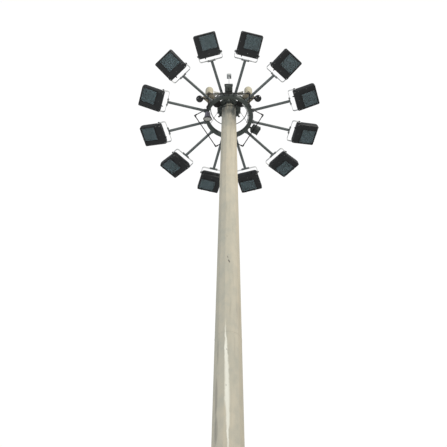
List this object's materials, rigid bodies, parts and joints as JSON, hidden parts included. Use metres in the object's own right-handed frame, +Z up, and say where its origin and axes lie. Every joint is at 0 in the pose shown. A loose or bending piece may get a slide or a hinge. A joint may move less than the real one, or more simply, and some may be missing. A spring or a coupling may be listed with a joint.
{
  "type": "high mast floodlight tower",
  "caption": "Tall tapered twelve-sided mast with a lantern carriage: a ring of square floodlights on radial arms that is winched down the mast for servicing.",
  "frame": {"origin": "centre of the base flange's underside", "axes": "+Z up the mast; -Y is the front, with the service door"},
  "size_m": [3.3464, 3.3464, 21.502],
  "materials": {
    "mast_steel": "weathered matt beige-grey",
    "flange_steel": "hot-dip galvanised, dull",
    "dark_steel": "dark grey-green, dull",
    "galvanised": "bright galvanised",
    "rope_steel": "stranded wire",
    "lamp_black": "black powder coat",
    "lamp_glass": "clear, over a dull reflector",
    "beacon_metal": "cast, cream paint",
    "beacon_lens": "frosted, yellowed",
    "box_grey": "moulded",
    "black_plastic": "moulded, satin",
    "black_rubber": "dull",
    "bell_grey": "spun, satin",
    "white_plastic": "opal",
    "horn_grey": "spun, dull",
    "lamp_grey": "satin"
  },
  "bodies": {
    "mast": {"base_flange": "flange_steel", "base_gussets": "flange_steel", "mast_lower": "mast_steel", "mast_upper": "mast_steel", "door_frame": "mast_steel", "door_leaf": "mast_steel", "head_plate": "dark_steel", "sheave_cheeks": "dark_steel", "rope_sheaves": "galvanised", "docking_latches": "dark_steel", "guide_hoop": "dark_steel", "docking_buffers": "black_rubber", "head_lead": "black_plastic", "finial_rod": "galvanised", "obstruction_lamp": "lamp_grey"},
    "carriage": {"carriage_ring": "dark_steel", "rope_lugs": "galvanised", "arms": "dark_steel", "yokes": "galvanised", "carrier_frames": "dark_steel", "junction_boxes": "box_grey", "beacon_bases": "beacon_metal", "beacon_lenses": "beacon_lens", "beacon_horns": "horn_grey", "camera_domes": "black_plastic", "bell_housing": "bell_grey", "bell_face": "white_plastic", "ring_conduit": "galvanised", "hanging_ropes": "rope_steel"},
    "floodlight_1": {"lamp_housing_1": "lamp_black", "lamp_glass_1": "lamp_glass"},
    "floodlight_2": {"lamp_housing_2": "lamp_black", "lamp_glass_2": "lamp_glass"},
    "floodlight_3": {"lamp_housing_3": "lamp_black", "lamp_glass_3": "lamp_glass"},
    "floodlight_4": {"lamp_housing_4": "lamp_black", "lamp_glass_4": "lamp_glass"},
    "floodlight_5": {"lamp_housing_5": "lamp_black", "lamp_glass_5": "lamp_glass"},
    "floodlight_6": {"lamp_housing_6": "lamp_black", "lamp_glass_6": "lamp_glass"},
    "floodlight_7": {"lamp_housing_7": "lamp_black", "lamp_glass_7": "lamp_glass"},
    "floodlight_8": {"lamp_housing_8": "lamp_black", "lamp_glass_8": "lamp_glass"},
    "floodlight_9": {"lamp_housing_9": "lamp_black", "lamp_glass_9": "lamp_glass"},
    "floodlight_10": {"lamp_housing_10": "lamp_black", "lamp_glass_10": "lamp_glass"},
    "floodlight_11": {"lamp_housing_11": "lamp_black", "lamp_glass_11": "lamp_glass"},
    "floodlight_12": {"lamp_housing_12": "lamp_black", "lamp_glass_12": "lamp_glass"}
  },
  "joints": [
    {"name": "carriage_lower", "type": "slide", "parent": "mast", "child": "carriage", "axis": [0, 0, -1], "range_m": [0, 18.2], "deforming": ["hanging_ropes"]},
    {"name": "tilt_1", "type": "hinge", "parent": "carriage", "child": "floodlight_1", "pos_m": [0.33514, -1.25076, 19.7], "axis": [-0.9659, -0.2588, 0], "range_deg": [-13, 62]},
    {"name": "tilt_2", "type": "hinge", "parent": "carriage", "child": "floodlight_2", "pos_m": [0.91562, -0.91562, 19.7], "axis": [-0.7071, -0.7071, 0], "range_deg": [-13, 62]},
    {"name": "tilt_3", "type": "hinge", "parent": "carriage", "child": "floodlight_3", "pos_m": [1.25076, -0.33514, 19.7], "axis": [-0.2588, -0.9659, 0], "range_deg": [-13, 62]},
    {"name": "tilt_4", "type": "hinge", "parent": "carriage", "child": "floodlight_4", "pos_m": [1.25076, 0.33514, 19.7], "axis": [0.2588, -0.9659, 0], "range_deg": [-13, 62]},
    {"name": "tilt_5", "type": "hinge", "parent": "carriage", "child": "floodlight_5", "pos_m": [0.91562, 0.91562, 19.7], "axis": [0.7071, -0.7071, 0], "range_deg": [-13, 62]},
    {"name": "tilt_6", "type": "hinge", "parent": "carriage", "child": "floodlight_6", "pos_m": [0.33514, 1.25076, 19.7], "axis": [0.9659, -0.2588, 0], "range_deg": [-13, 62]},
    {"name": "tilt_7", "type": "hinge", "parent": "carriage", "child": "floodlight_7", "pos_m": [-0.33514, 1.25076, 19.7], "axis": [0.9659, 0.2588, 0], "range_deg": [-13, 62]},
    {"name": "tilt_8", "type": "hinge", "parent": "carriage", "child": "floodlight_8", "pos_m": [-0.91562, 0.91562, 19.7], "axis": [0.7071, 0.7071, 0], "range_deg": [-13, 62]},
    {"name": "tilt_9", "type": "hinge", "parent": "carriage", "child": "floodlight_9", "pos_m": [-1.25076, 0.33514, 19.7], "axis": [0.2588, 0.9659, 0], "range_deg": [-13, 62]},
    {"name": "tilt_10", "type": "hinge", "parent": "carriage", "child": "floodlight_10", "pos_m": [-1.25076, -0.33514, 19.7], "axis": [-0.2588, 0.9659, 0], "range_deg": [-13, 62]},
    {"name": "tilt_11", "type": "hinge", "parent": "carriage", "child": "floodlight_11", "pos_m": [-0.91562, -0.91562, 19.7], "axis": [-0.7071, 0.7071, 0], "range_deg": [-13, 62]},
    {"name": "tilt_12", "type": "hinge", "parent": "carriage", "child": "floodlight_12", "pos_m": [-0.33514, -1.25076, 19.7], "axis": [-0.9659, 0.2588, 0], "range_deg": [-13, 62]}
  ]
}
